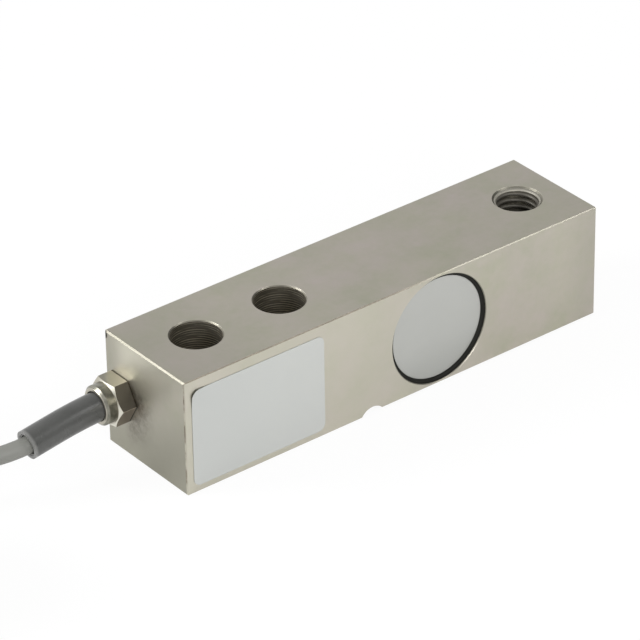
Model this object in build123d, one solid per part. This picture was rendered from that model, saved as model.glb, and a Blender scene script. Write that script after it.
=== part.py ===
from build123d import *
import os
from math import asin, cos, degrees, pi, radians, sqrt, tan

# Shear beam load cell: a nickel-plated alloy steel bar that is bolted down at its cable end and
# loaded through a threaded hole at its free end. Two round pockets, one in each side, leave a thin
# web between them, and strain gauges on the web read its shear.
#
# Millimetres. +X runs from the cable end to the loaded end, +Z is up. The origin lies on the
# mounting face, midway between the two fixing holes, in the middle of the bar's width.

# Bar
bar_width = 31.8
bar_height = 31.8
cable_end_margin = 15.7      # from the cable end to the first fixing hole
fixing_spacing = 25.4
load_arm = 76.2              # from the second fixing hole to the load hole
load_end_margin = 12.7
end_edge_break = 0.4
long_edge_break = 0.2
hole_break = 0.3
free_end_relief = 0.5        # the loaded end stands this far above the mounting face
groove_from_hole = 16.0      # from the second fixing hole to the middle of the relief groove
groove_radius = 4.0
groove_depth = 2.0

# Holes
fixing_hole_d = 13.0
load_thread_d = 12.0
load_thread_chamfer = 0.5

# Gauge pockets
pocket_d = 30.0
pocket_from_hole = 37.5      # from the second fixing hole to the pockets' axis
pocket_height = 16.0
web_thickness = 3.2
pocket_floor_fillet = 1.0
pocket_mouth_break = 0.2
cross_hole_d = 1.8           # lets the front gauge's wires through the web
cross_hole_offset = -5.0

# Cover discs and the sealant under them
disc_d = 28.2
disc_thickness = 0.5
disc_recess = 1.1
disc_edge_break = 0.1
sealant_wall_recess = 0.35   # how far below the bar's side the sealant ends on the pocket wall
sealant_lip_sag = 0.25

# Strain gauges
film_length = 8.0
film_height = 10.0
film_thickness = 0.15
grid_thickness = 0.08
grid_strands = 7
grid_pitch = 0.42
grid_strand_width = 0.2
grid_strand_length = 2.6
grid_offset = 2.3            # of each grid above and below the middle of the film
grid_shift = 0.9
tab_size = 0.9
tab_pitch = 3.0
tab_from_edge = 0.6
gauge_wire_d = 0.25
gauge_wire_bend = 0.4
gauge_wire_rise = 1.4        # of the wires' loop above what they are soldered to
gauge_wire_pitch = 0.5       # in the cross hole
gauge_wire_straight = 0.5    # at either end of the cross hole

# Bridge board on the rear web face
board_length = 6.0
board_height = 13.0
board_thickness = 0.8
board_from_axis = -9.0
pad_column = 2.0             # from the board's middle line to each column of solder joints
wire_pad_pitch = 2.0
wire_joint_d = 0.9
core_joint_d = 1.4
core_joint_pitch = 3.0
joint_height = 0.35
joint_taper = 0.6
resistor_length = 1.6
resistor_width = 0.8
resistor_thickness = 0.45
resistor_pitch = 4.0
resistors = 3

# Cable and its cores
cable_d = 4.5
core_d = 1.1
core_pitch = 1.35            # between the cores' middles in the wiring channel
core_bend = 1.4
channel_d = 4.0

# Gland
gland_offset = 10.0          # from the middle of the bar towards its rear side
gland_height = 15.9
gland_thread_d = 8.0
gland_bore_depth = 9.0
gland_thread_length = 5.2
thread_clearance = 0.05
hex_across_flats = 11.5
hex_length = 4.8
hex_chamfer_d = 11.0
hex_chamfer_angle = 30.0
collar_d = 10.4
collar_length = 2.9
collar_front_break = 0.7
sleeve_seat_depth = 3.7
gland_passage_d = 5.2
washer_thickness = 0.5
washer_clearance = 0.15
bush_length = 3.3
bush_edge_break = 0.3
jacket_clearance = 0.05

# Strain relief sleeve
sleeve_d = 7.5
sleeve_bore_d = 5.2
sleeve_fit = 0.2
sleeve_past_bend = 16.7      # from the cable's first bend to the sleeve's mouth
sleeve_rim = 0.35

# Free cable: the middle line of the stretch between the gland and the hank
lead_route = [
    (-20.0, 10.0, 15.9),
    (-39.9, 10.0, 15.9),
    (-59.9, 10.1, 12.65),
    (-73.5, 16.6, 9.8),
    (-86.0, 21.4, 4.6),
    (-94.5, 22.3, 2.25),
    (-103.5, 22.3, 2.25),
]

# Tied hank that holds the rest of the cable
hank_columns = 2
hank_layers = 6
hank_run = 76.0              # between the middles of the two end loops
hank_bend = 3 * cable_d      # radius of the innermost turns' middle line
hank_end_x = -97.0
hank_middle_y = 4.3
top_strand_start = 22.0      # of the last strand, which lies on top, from the hank's waist
top_strand_end = -16.0
top_strand_sink = 0.4        # into the furrow between the strands under it

# Tie round the hank's waist
tie_width = 3.6
tie_thickness = 1.0
tie_clearance = 0.15
tie_head_width = 6.0
tie_head_height = 5.0
tie_head_depth = 4.0
tie_head_corner = 0.6
tie_cut_end_length = 14.0
tie_cut_end_thickness = 1.1

# Bared cores at the end of the cable
tail_length = 30.0
tail_pitch = 1.5             # between the cores' middles where they leave the jacket
tail_straight = 3.0
tail_sink_low = 8.0          # from the jacket's end to where the lower pair lies on the hank
tail_sink_high = 12.0
tail_fan = 2.6               # more between neighbouring cores at their ends
tail_sweep = 7.5             # of all the ends towards the middle of the hank
tail_bend = 2.5
conductor_d = 0.6
conductor_length = 5.0
drain_d = 0.9

# Rating label
label_length = 40.0
label_height = 27.0
label_thickness = 0.15
label_corner = 2.8
label_from_end = 2.1
label_from_base = 1.8

# Places worked out from the sizes above
cable_end_x = -fixing_spacing / 2 - cable_end_margin
second_hole_x = fixing_spacing / 2
load_x = second_hole_x + load_arm
load_end_x = load_x + load_end_margin
bar_length = load_end_x - cable_end_x
bar_middle_x = (load_end_x + cable_end_x) / 2
side_y = bar_width / 2
groove_x = second_hole_x + groove_from_hole
pocket_x = second_hole_x + pocket_from_hole
pocket_r = pocket_d / 2
pocket_depth = (bar_width - web_thickness) / 2

pieces = {}


def along_x(x, y, z):
    """A plane at a point, facing +X, with its own x axis along +Y."""
    return Plane(origin=(x, y, z), x_dir=(0, 1, 0), z_dir=(1, 0, 0))


def pocket_plane(side):
    """A plane in the mouth of a pocket, facing into the bar. side is -1 at the front, +1 at the rear."""
    return Plane(origin=(pocket_x, side * side_y, pocket_height), x_dir=(1, 0, 0), z_dir=(0, -side, 0))


def on_web(side, u, v, rise, size_u, size_v, thickness):
    """A flat block that stands off one face of the web, u along the bar and v up it from the pocket's axis."""
    y = side * (web_thickness / 2 + rise + thickness / 2)
    return Pos(pocket_x + u, y, pocket_height + v) * Box(size_u, thickness, size_v)


def turned(outline, plane):
    """A body of revolution about a plane's normal. The outline gives (radius, height along the normal)."""
    face = make_face(Plane.XZ * Polyline(*outline, close=True))
    return plane.location * revolve(face, Axis.Z)


def bend_radii(points):
    """The largest arc that each corner of a route has room for."""
    radii = []
    for before, corner, after in zip(points, points[1:], points[2:]):
        run_in = Vector(*corner) - Vector(*before)
        run_out = Vector(*after) - Vector(*corner)
        shorter = min(run_in.length, run_out.length)
        radii.append(0.45 * shorter / tan(radians(run_in.get_angle(run_out)) / 2))
    return radii


def rod(points, diameter, radii):
    """A round wire or cable along straight runs and arcs."""
    path = FilletPolyline(*points, radius=radii) if len(points) > 2 else Line(*points)
    section = Plane(origin=path @ 0, z_dir=path % 0) * Circle(diameter / 2)
    return sweep(section, path=path)


# Bar: sawn from square stock, its edges broken, then the loaded end's underside and the groove milled
bar = Pos(bar_middle_x, 0, bar_height / 2) * Box(bar_length, bar_width, bar_height)
ends = bar.faces().filter_by(Axis.X)
bar = chamfer([edge for end in ends for edge in end.edges()], end_edge_break)
bar = chamfer(bar.edges().filter_by(Axis.X), long_edge_break)
relief_length = load_end_x - groove_x
bar -= Pos(groove_x + relief_length, 0, 0) * Box(2 * relief_length, 2 * bar_width, 2 * free_end_relief)
relieved = [
    edge
    for edge in bar.edges()
    if abs(edge.center().Z - free_end_relief) < 0.01 and edge.center().X > groove_x + 0.01
]
bar = chamfer(relieved, long_edge_break)
bar -= Pos(groove_x, 0, groove_depth - groove_radius) * Rot(90, 0, 0) * Cylinder(groove_radius, 2 * bar_width)


def through_hole(diameter, mouth_break, low):
    """A drilled hole through the bar's height with both mouths broken, standing on the origin."""
    r = diameter / 2
    flare = r + mouth_break + 1.0
    outline = [
        (0, low - 1.0),
        (flare, low - 1.0),
        (r, low + mouth_break),
        (r, bar_height - mouth_break),
        (flare, bar_height + 1.0),
        (0, bar_height + 1.0),
    ]
    return turned(outline, Plane.XY)


for hole_x in (-second_hole_x, second_hole_x):
    bar -= Pos(hole_x, 0, 0) * through_hole(fixing_hole_d, hole_break, 0)
bar -= Pos(load_x, 0, 0) * through_hole(load_thread_d, load_thread_chamfer, free_end_relief)


def pocket_outline(top):
    """The profile from a pocket's axis, over its rounded floor and up its wall to a depth below the mouth."""
    corner = pocket_floor_fillet
    bend = corner * (1 - cos(radians(45)))
    return [
        Line((0, pocket_depth), (pocket_r - corner, pocket_depth)),
        ThreePointArc(
            (pocket_r - corner, pocket_depth),
            (pocket_r - bend, pocket_depth - bend),
            (pocket_r, pocket_depth - corner),
        ),
        Line((pocket_r, pocket_depth - corner), (pocket_r, top)),
    ]


def spun(edges, side):
    """A closed outline of (radius, depth) edges, revolved about a pocket's axis."""
    face = make_face(Plane.XZ * Wire(edges))
    return pocket_plane(side).location * revolve(face, Axis.Z)


def pocket_cut(side):
    """The milled pocket with its broken mouth."""
    mouth_r = pocket_r + pocket_mouth_break + 1.0
    edges = pocket_outline(pocket_mouth_break)
    edges += Polyline((pocket_r, pocket_mouth_break), (mouth_r, -1.0), (0, -1.0), (0, pocket_depth)).edges()
    return spun(edges, side)


for side in (-1, 1):
    bar -= pocket_cut(side)
cross_hole = Pos(pocket_x + cross_hole_offset, 0, pocket_height) * Rot(90, 0, 0)
cross_hole = cross_hole * Cylinder(cross_hole_d / 2, web_thickness)
bar -= cross_hole

# Gland bore in the cable end, and the wiring channel that runs on past the fixing holes to the rear pocket
bore_floor_x = cable_end_x + gland_bore_depth
gland_axis = along_x(cable_end_x, gland_offset, gland_height)
gland_bore = [
    (0, -1.0),
    (gland_thread_d / 2 + hole_break + 1.0, -1.0),
    (gland_thread_d / 2, hole_break),
    (gland_thread_d / 2, gland_bore_depth),
    (0, gland_bore_depth),
]
bar -= turned(gland_bore, gland_axis)
channel_length = pocket_x - bore_floor_x
bar -= (
    Pos(bore_floor_x - 1.0, gland_offset, gland_height)
    * Rot(0, 90, 0)
    * Cylinder(channel_d / 2, channel_length + 1.0, align=(Align.CENTER, Align.CENTER, Align.MIN))
)
pieces["beam_body"] = bar

# Strain gauges: on each side of the web a film carries two foil grids at right angles to each other
tab_u = -film_length / 2 + tab_from_edge + tab_size / 2
film_top = film_thickness
grid_top = film_thickness + grid_thickness


def grid_route():
    """The foil's path: parallel strands joined in turn at their ends."""
    half = grid_strand_length / 2
    first = -(grid_strands - 1) * grid_pitch / 2
    route = []
    for strand in range(grid_strands):
        v = first + strand * grid_pitch
        ends = [(-half, v), (half, v)]
        route += ends if strand % 2 == 0 else ends[::-1]
    return route


def foil_plane(side):
    """A plane on the top of a gauge film, its x along the bar away from the solder tabs."""
    y = side * (web_thickness / 2 + film_top)
    return Plane(origin=(pocket_x, y, pocket_height), x_dir=(1, 0, 0), z_dir=(0, side, 0))


def gauge_foil(side):
    """Two grids and three solder tabs, cut from one thickness of foil, as separate flat solids."""
    solids = []
    for up in (-1, 1):
        turn = Pos(grid_shift, up * grid_offset) * Rot(0, 0, 45 * up)
        strip = trace(Polyline(*grid_route()), grid_strand_width)
        solids += extrude(foil_plane(side) * turn * strip, grid_thickness).solids()
    for row in (-1, 0, 1):
        tab = Pos(tab_u, row * tab_pitch) * Rectangle(tab_size, tab_size)
        solids += extrude(foil_plane(side) * tab, grid_thickness).solids()
    return Compound(solids)


for side, name in ((-1, "front"), (1, "rear")):
    pieces[f"{name}_gauge_film"] = on_web(side, 0, 0, 0, film_length, film_height, film_thickness)
    pieces[f"{name}_gauge_foil"] = gauge_foil(side)

# Bridge board with its solder joints and trim resistors
pieces["bridge_board"] = on_web(1, board_from_axis, 0, 0, board_length, board_height, board_thickness)
wire_column = board_from_axis + pad_column
core_column = board_from_axis - pad_column
wire_rows = [(row - 2.5) * wire_pad_pitch for row in range(6)]
core_rows = [(row - 1.5) * core_joint_pitch for row in range(4)]
board_top_y = web_thickness / 2 + board_thickness


def solder_joint(u, v, diameter):
    """A cone of solder on the board."""
    plane = Plane(
        origin=(pocket_x + u, board_top_y, pocket_height + v), x_dir=(1, 0, 0), z_dir=(0, 1, 0)
    )
    r = diameter / 2
    return turned([(0, 0), (r, 0), (r * joint_taper, joint_height), (0, joint_height)], plane)


joints = [solder_joint(wire_column, v, wire_joint_d) for v in wire_rows]
joints += [solder_joint(core_column, v, core_joint_d) for v in core_rows]
pieces["solder_joints"] = Compound(joints)
chips = []
for number in range(resistors):
    v = (number - (resistors - 1) / 2) * resistor_pitch
    chips.append(
        on_web(1, board_from_axis, v, board_thickness, resistor_width, resistor_length, resistor_thickness)
    )
pieces["trim_resistors"] = Compound(chips)

# Gauge wires: up from a tab, over, and down on a joint. The front ones pass through the web's cross hole.
joint_top_y = board_top_y + joint_height
tab_top_y = web_thickness / 2 + grid_top


def web_point(u, y, v):
    """A point by its place on the web and its height from the bar's middle plane."""
    return (pocket_x + u, y, pocket_height + v)


rear_wires = []
front_wires = []
rear_loop_y = joint_top_y + gauge_wire_rise / 2
front_loop_y = joint_top_y + gauge_wire_rise
hole_end_y = web_thickness / 2 + gauge_wire_straight
for row in range(3):
    tab_v = (row - 1) * tab_pitch
    rear_v = wire_rows[3 + row]
    front_v = wire_rows[row]
    hole_v = (row - 1) * gauge_wire_pitch
    rear_wires.append(
        rod(
            [
                web_point(tab_u, tab_top_y, tab_v),
                web_point(tab_u, rear_loop_y, tab_v),
                web_point(wire_column, rear_loop_y, rear_v),
                web_point(wire_column, joint_top_y, rear_v),
            ],
            gauge_wire_d,
            gauge_wire_bend,
        )
    )
    front_wires.append(
        rod(
            [
                web_point(tab_u, -tab_top_y, tab_v),
                web_point(tab_u, -tab_top_y - gauge_wire_rise, tab_v),
                web_point(cross_hole_offset, -hole_end_y, hole_v),
                web_point(cross_hole_offset, hole_end_y, hole_v),
                web_point(wire_column, front_loop_y, front_v),
                web_point(wire_column, joint_top_y, front_v),
            ],
            gauge_wire_d,
            gauge_wire_bend,
        )
    )
pieces["rear_gauge_wires"] = Compound(rear_wires)
pieces["front_gauge_wires"] = Compound(front_wires)

# The cable's four cores, from the end of its jacket in the gland through the channel to the board
jacket_end_x = lead_route[0][0]
core_names = ["red", "black", "green", "white"]
core_places = [(-1, -1), (1, -1), (-1, 1), (1, 1)]
for name, (over, up), v in zip(core_names, core_places, core_rows):
    y = gland_offset + over * core_pitch / 2
    z = gland_height + up * core_pitch / 2
    pocket_wall_x = pocket_x - pocket_r
    drop_x = pocket_x + core_column
    pieces[f"inner_core_{name}"] = rod(
        [
            (jacket_end_x, y, z),
            (pocket_wall_x, y, z),
            (drop_x, y - 2 * core_bend, pocket_height + v),
            (drop_x, joint_top_y, pocket_height + v),
        ],
        core_d,
        core_bend,
    )

# Sealant: fills each pocket round the gauges and wires, and wets the wall round the disc. The front
# filling also plugs the cross hole.
disc_r = disc_d / 2
disc_floor = disc_recess + disc_thickness
buried = {
    "front": ["front_gauge_film", "front_gauge_foil", "front_gauge_wires"],
    "rear": ["rear_gauge_film", "rear_gauge_foil", "rear_gauge_wires", "front_gauge_wires"]
    + ["bridge_board", "solder_joints", "trim_resistors"]
    + [f"inner_core_{name}" for name in core_names],
}


def sealant(side, name):
    """The rubbery filling of one pocket, with its lip round the disc."""
    middle_r = (disc_r + pocket_r) / 2
    middle_depth = (disc_recess + sealant_wall_recess) / 2 + sealant_lip_sag
    edges = pocket_outline(sealant_wall_recess)
    edges.append(
        ThreePointArc((pocket_r, sealant_wall_recess), (middle_r, middle_depth), (disc_r, disc_recess))
    )
    edges += Polyline((disc_r, disc_recess), (disc_r, disc_floor), (0, disc_floor), (0, pocket_depth)).edges()
    filling = spun(edges, side)
    if name == "front":
        filling += cross_hole
    for inner in buried[name]:
        filling -= pieces[inner]
    return filling


for side, name in ((-1, "front"), (1, "rear")):
    pieces[f"{name}_sealant"] = sealant(side, name)
    disc = [
        (0, disc_recess),
        (disc_r - disc_edge_break, disc_recess),
        (disc_r, disc_recess + disc_edge_break),
        (disc_r, disc_floor),
        (0, disc_floor),
    ]
    pieces[f"{name}_cover_disc"] = turned(disc, pocket_plane(side))

# Gland: a hollow hexagon screw. It presses a washer on a rubber bush round the cable's jacket,
# at the bottom of its bore, and its collar holds the strain relief sleeve.
shank_r = gland_thread_d / 2 - thread_clearance
shank_end = gland_thread_length
collar_end = -hex_length - collar_length
sleeve_seat_r = sleeve_d / 2 + sleeve_fit
screw = turned(
    [
        (0, collar_end),
        (collar_d / 2 - collar_front_break, collar_end),
        (collar_d / 2, collar_end + collar_front_break),
        (collar_d / 2, 0),
        (shank_r, 0),
        (shank_r, shank_end - hole_break),
        (shank_r - hole_break, shank_end),
        (0, shank_end),
    ],
    gland_axis,
)
hexagon = RegularPolygon(hex_across_flats / 2, 6, major_radius=False, rotation=0)
nut = extrude(along_x(cable_end_x - hex_length, gland_offset, gland_height) * hexagon, hex_length)
corner_r = hex_across_flats / sqrt(3) + 1.0
chamfer_run = (corner_r - hex_chamfer_d / 2) * tan(radians(hex_chamfer_angle))
nut_limit = turned(
    [
        (0, -hex_length),
        (hex_chamfer_d / 2, -hex_length),
        (corner_r, -hex_length + chamfer_run),
        (corner_r, 0),
        (0, 0),
    ],
    gland_axis,
)
screw += nut & nut_limit
seat_floor = collar_end + sleeve_seat_depth
passage = [
    (0, collar_end - 1.0),
    (sleeve_seat_r, collar_end - 1.0),
    (sleeve_seat_r, seat_floor),
    (gland_passage_d / 2, seat_floor),
    (gland_passage_d / 2, shank_end + 1.0),
    (0, shank_end + 1.0),
]
screw -= turned(passage, gland_axis)
pieces["gland_screw"] = screw

jacket_bore_r = cable_d / 2 + jacket_clearance
washer_outer_r = shank_r - washer_clearance
washer_start = shank_end
pieces["gland_washer"] = turned(
    [
        (jacket_bore_r, washer_start),
        (washer_outer_r, washer_start),
        (washer_outer_r, washer_start + washer_thickness),
        (jacket_bore_r, washer_start + washer_thickness),
    ],
    gland_axis,
)
bush_start = washer_start + washer_thickness
bush_end = min(bush_start + bush_length, gland_bore_depth)
pieces["gland_bush"] = turned(
    [
        (jacket_bore_r, bush_start),
        (shank_r - bush_edge_break, bush_start),
        (shank_r, bush_start + bush_edge_break),
        (shank_r, bush_end - bush_edge_break),
        (shank_r - bush_edge_break, bush_end),
        (jacket_bore_r, bush_end),
    ],
    gland_axis,
)

# Free cable: one arc at each corner of its route, as large as the runs beside it allow
lead_radii = bend_radii(lead_route)
cable_lead = rod(lead_route, cable_d, lead_radii)
pieces["cable_lead"] = cable_lead

# Strain relief sleeve: a plastic tube that follows the cable, from the seat in the gland's collar
first_bend = Vector(*lead_route[1])
along_lead = (Vector(*lead_route[2]) - first_bend).normalized()
seat_floor_x = cable_end_x + seat_floor
mouth = first_bend + along_lead * sleeve_past_bend
past_mouth = first_bend + along_lead * (sleeve_past_bend + 1.0)
tube = rod([lead_route[0], lead_route[1], tuple(mouth)], sleeve_d, lead_radii[0])
tube -= rod([lead_route[0], lead_route[1], tuple(past_mouth)], sleeve_bore_d, lead_radii[0])
mouth_flare = [
    (0, -sleeve_rim),
    (sleeve_bore_d / 2, -sleeve_rim),
    (sleeve_bore_d / 2 + sleeve_rim + 0.5, 0.5),
    (0, 0.5),
]
tube -= turned(mouth_flare, Plane(origin=mouth, z_dir=along_lead))
tube_limit = Pos(seat_floor_x, 0, 0) * Box(
    bar_length, bar_width, 2 * bar_height, align=(Align.MAX, Align.CENTER, Align.MIN)
)
pieces["relief_sleeve"] = tube & tube_limit

# Hank: turns of cable laid side by side and in layers, wide at its end loops and tied at its waist.
# Its outline is two circles joined by hollow sides. The last strand lies on top of one side.
bundle = hank_columns * cable_d
loop_r = hank_bend + bundle - cable_d / 2
half_run = hank_run / 2
side_r = (half_run**2 + bundle**2 - loop_r**2) / (2 * (loop_r - bundle))
hank_height = hank_layers * cable_d
hank_middle_x = hank_end_x - loop_r - half_run
hank_place = Pos(hank_middle_x, hank_middle_y, 0)
side_centre = bundle + side_r
reach = side_r + loop_r
meet_x = half_run - half_run * loop_r / reach
meet_y = side_centre * loop_r / reach
loop_tip = half_run + loop_r
hank_outline = [
    ThreePointArc((meet_x, meet_y), (loop_tip, 0), (meet_x, -meet_y)),
    ThreePointArc((meet_x, -meet_y), (0, -bundle), (-meet_x, -meet_y)),
    ThreePointArc((-meet_x, -meet_y), (-loop_tip, 0), (-meet_x, meet_y)),
    ThreePointArc((-meet_x, meet_y), (0, bundle), (meet_x, meet_y)),
]
hank = extrude(make_face(Wire(hank_outline)), hank_height)
strand_r = side_r + cable_d / 2
strand_z = hank_height + cable_d / 2 - top_strand_sink
first_angle = degrees(asin(top_strand_end / strand_r))
last_angle = degrees(asin(top_strand_start / strand_r))
strand_path = CenterArc((0, side_centre, strand_z), strand_r, 270 + first_angle, last_angle - first_angle)
strand_section = Plane(origin=strand_path @ 0, z_dir=strand_path % 0) * Circle(cable_d / 2)
hank += sweep(strand_section, path=strand_path)
loop_side = hank_bend + bundle - cable_d
entry_x = hank_middle_x + half_run
entry = (
    Pos(entry_x, hank_middle_y + loop_side, cable_d / 2)
    * Rot(0, 90, 0)
    * Cylinder(cable_d / 2, lead_route[-1][0] - entry_x, align=(Align.CENTER, Align.CENTER, Align.MIN))
)
tie_gap = tie_width + 2 * tie_clearance
tie_groove = Box(tie_gap, 4 * bundle, 2 * tie_thickness)
pieces["cable_hank"] = hank_place * (hank - tie_groove) + entry

# Cable tie round the waist: a strap drawn through its head, with its cut end standing up
strand_top = strand_z + cable_d / 2
wrapped = [
    (-bundle, 0),
    (bundle, 0),
    (bundle, strand_top),
    (bundle - cable_d, strand_top),
    (-bundle, hank_height),
]
waist_face = Plane(origin=(-tie_width / 2, 0, 0), x_dir=(0, 1, 0), z_dir=(1, 0, 0))
above_strap = Pos(0, tie_thickness) * Rectangle(
    4 * bundle, 2 * strand_top, align=(Align.CENTER, Align.MIN)
)
gripped = offset(make_face(Polyline(*wrapped, close=True)), tie_clearance, kind=Kind.INTERSECTION)
gripped &= above_strap
strap_face = offset(gripped, tie_thickness) - gripped
strap = extrude(waist_face * strap_face, tie_width)
head_y = -bundle - tie_clearance - tie_head_depth / 2
head_z = hank_height / 2
head = Pos(0, head_y, head_z) * Box(tie_head_width, tie_head_depth, tie_head_height)
head = fillet(head.edges().filter_by(Axis.Z), tie_head_corner)
cut_end = Pos(0, head_y - tie_cut_end_thickness / 2, head_z) * Box(
    tie_width, tie_cut_end_thickness, tie_cut_end_length, align=(Align.CENTER, Align.CENTER, Align.MIN)
)
pieces["hank_tie"] = hank_place * (strap + head + cut_end)

# Bared end of the cable: four cores and the screen's drain wire. They leave the jacket on top of the
# hank, sink to its top layer and spread out over the strands of the far loop.
end_face = hank_place.position + strand_path @ 0
outwards = -(strand_path % 0)
sideways = Vector(0, 0, 1).cross(outwards)


def tail_route(across, up, sink_at, spread, length, diameter):
    """The way of one wire of the bared end, from its place in the jacket to its place on the hank."""
    lay_z = hank_height + diameter / 2
    start = end_face + sideways * across + Vector(0, 0, up)
    lifted = start + outwards * tail_straight
    slope = tail_sweep / tail_length
    sunk = end_face + outwards * sink_at + sideways * (across + spread / 2 + slope * sink_at)
    last = end_face + outwards * length + sideways * (across + spread + slope * length)
    return [tuple(start), tuple(lifted), (sunk.X, sunk.Y, lay_z), (last.X, last.Y, lay_z)]


tail_places = [(-1, -1), (-1, 1), (1, 1), (1, -1)]
conductors = []
for number, (name, (across, up)) in enumerate(zip(core_names, tail_places)):
    route = tail_route(
        across * tail_pitch / 2,
        up * tail_pitch / 2,
        tail_sink_low if up < 0 else tail_sink_high,
        (number - 1.5) * tail_fan,
        tail_length,
        core_d,
    )
    pieces[f"tail_core_{name}"] = rod(route, core_d, tail_bend)
    core_end = Vector(*route[-1])
    along_core = (core_end - Vector(*route[-2])).normalized()
    conductor_end = core_end + along_core * conductor_length
    conductors.append(rod([tuple(core_end), tuple(conductor_end)], conductor_d, 0))
pieces["tail_conductors"] = Compound(conductors)
drain_sink = (tail_sink_low + tail_sink_high) / 2
drain_route = tail_route(0, 0, drain_sink, 0, tail_length + conductor_length, drain_d)
pieces["tail_drain"] = rod(drain_route, drain_d, tail_bend)

# Rating label: a plain foil sticker with rounded corners on the front face
label_x = cable_end_x + label_from_end + label_length / 2
label_z = label_from_base + label_height / 2
label_face = Plane(origin=(label_x, -side_y, label_z), x_dir=(1, 0, 0), z_dir=(0, -1, 0))
pieces["rating_label"] = extrude(
    label_face * RectangleRounded(label_length, label_height, label_corner), label_thickness
)

os.makedirs("parts", exist_ok=True)
for name, piece in pieces.items():
    export_step(piece, f"parts/{name}.step")


def section_times_length(diameter, length):
    """The volume that a straight round tube of this length would have."""
    return pi * diameter**2 / 4 * length


lead_length = FilletPolyline(*lead_route, radius=lead_radii).length
lead_volume = section_times_length(cable_d, lead_length)
print("cable bend radii:", [round(r, 1) for r in lead_radii])
print(f"free cable: {lead_length:.1f} mm, volume {cable_lead.volume:.0f}, from its section {lead_volume:.0f}")
print(f"pieces: {len(pieces)}, solids: {sum(len(piece.solids()) for piece in pieces.values())}")
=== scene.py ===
from math import atan2, cos, pi, radians, sin, tan

import bmesh
import bpy
from mathutils import Matrix, Vector


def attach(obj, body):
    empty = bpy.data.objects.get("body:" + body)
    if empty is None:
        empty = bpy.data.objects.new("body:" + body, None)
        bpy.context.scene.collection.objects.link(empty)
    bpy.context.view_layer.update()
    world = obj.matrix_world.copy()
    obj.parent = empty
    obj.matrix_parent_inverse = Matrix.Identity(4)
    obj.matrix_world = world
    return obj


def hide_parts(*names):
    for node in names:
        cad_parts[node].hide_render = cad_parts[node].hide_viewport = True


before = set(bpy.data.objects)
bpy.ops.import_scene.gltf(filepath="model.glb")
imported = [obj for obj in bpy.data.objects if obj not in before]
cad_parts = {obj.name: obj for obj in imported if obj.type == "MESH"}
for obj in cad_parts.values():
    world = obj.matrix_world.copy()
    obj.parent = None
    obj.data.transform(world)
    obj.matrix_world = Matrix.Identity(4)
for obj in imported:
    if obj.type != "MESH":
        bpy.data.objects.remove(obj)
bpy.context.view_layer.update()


# The camera stands to the left of the cell's cable end and above it, at the photograph's distance,
# so the cable leaves the picture at its left edge.
camera_place = (-0.5255, -0.7065, 0.5731)
camera_azimuth = radians(-37.93)
camera_tilt = radians(90 - 31.65)
camera_roll = radians(-0.96)
lens_data = bpy.data.cameras.new("camera")
lens_data.sensor_width = 36
lens_data.lens = 240.6
lens_data.clip_end = 10
camera = bpy.data.objects.new("camera", lens_data)
bpy.context.scene.collection.objects.link(camera)
aim = Matrix.Rotation(camera_azimuth, 4, "Z") @ Matrix.Rotation(camera_tilt, 4, "X")
camera.matrix_world = Matrix.Translation(camera_place) @ aim @ Matrix.Rotation(camera_roll, 4, "Z")
bpy.context.scene.camera = camera


# Cable: a grey round jacket over four cores and a screen, 3 m long. It leaves the gland, sinks to
# the surface that the cell stands on, and the rest is folded into a hank that a tie holds.
cable_d = 0.0045
cable_grey = (0.198, 0.200, 0.182, 1)
cable_patch = (0.186, 0.186, 0.169, 1)
gland_axis = (0, 0.0100, 0.0159)   # a point on it
lead_route = [
    (-0.0200, *gland_axis[1:]),
    (-0.0399, *gland_axis[1:]),
    (-0.0588, 0.0099, 0.0123),
    (-0.0735, 0.0172, 0.0107),
    (-0.0860, 0.0214, 0.0046),
    (-0.0945, 0.0223, 0.00225),
    (-0.1035, 0.0223, 0.00225),
]
hank_middle = (-0.15525, 0.0043)
half_run = 0.038             # from the hank's waist to the middle of each end loop
outer_loop_r = 4.0 * cable_d
bundle = 2 * cable_d
hank_outline_r = outer_loop_r + cable_d / 2
waist_r = (half_run**2 + bundle**2 - hank_outline_r**2) / (2 * (hank_outline_r - bundle))
flank = atan2(half_run, bundle + waist_r)

# One turn as arcs: centre x and y, first and last angle, steps, and 1 where the arc bulges outwards
turn_arcs = [
    (half_run, 0, pi / 2, pi / 2 + flank, 2, 1),
    (0, bundle + waist_r, -pi / 2 + flank, -pi / 2 - flank, 14, -1),
    (-half_run, 0, pi / 2 - flank, 3 * pi / 2 + flank, 14, 1),
    (0, -bundle - waist_r, pi / 2 + flank, pi / 2 - flank, 14, -1),
    (half_run, 0, -pi / 2 - flank, pi / 2, 12, 1),
]
turn_steps = sum(arc[4] for arc in turn_arcs)
waist_steps = (9, 37)        # where a turn passes the hank's waist
waist_reach = 4.4            # steps to each side that the tie lifts
columns = [0, 1, 1, 0, 0, 1, 1, 0, 0, 1, 1, 0, 0]   # outer or inner, for each turn in order
top_layer = 5                # counted from the bottom layer, 0
whole_turns = 11
end_step = 3.82              # steps past the waist, in the last turn, where the jacket ends
first_change = 0.82          # turns from the start to the first change of place
change_every = 0.915
change_span = 0.17
tie_lift = 0.0011            # of the bottom layer where the tie passes under it
top_strand_sink = 0.0004


def turn_point(step, inset):
    """A point of the hank's turn, seen from above, inset from the turn's outer line."""
    step = step % turn_steps
    for centre_x, centre_y, first, last, steps, bulge in turn_arcs:
        if step <= steps:
            break
        step -= steps
    angle = first + (last - first) * step / steps
    radius = hank_outline_r - inset if bulge > 0 else waist_r + inset
    radius /= cos((last - first) / steps / 2)
    return centre_x + radius * cos(angle), centre_y + radius * sin(angle)


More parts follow.
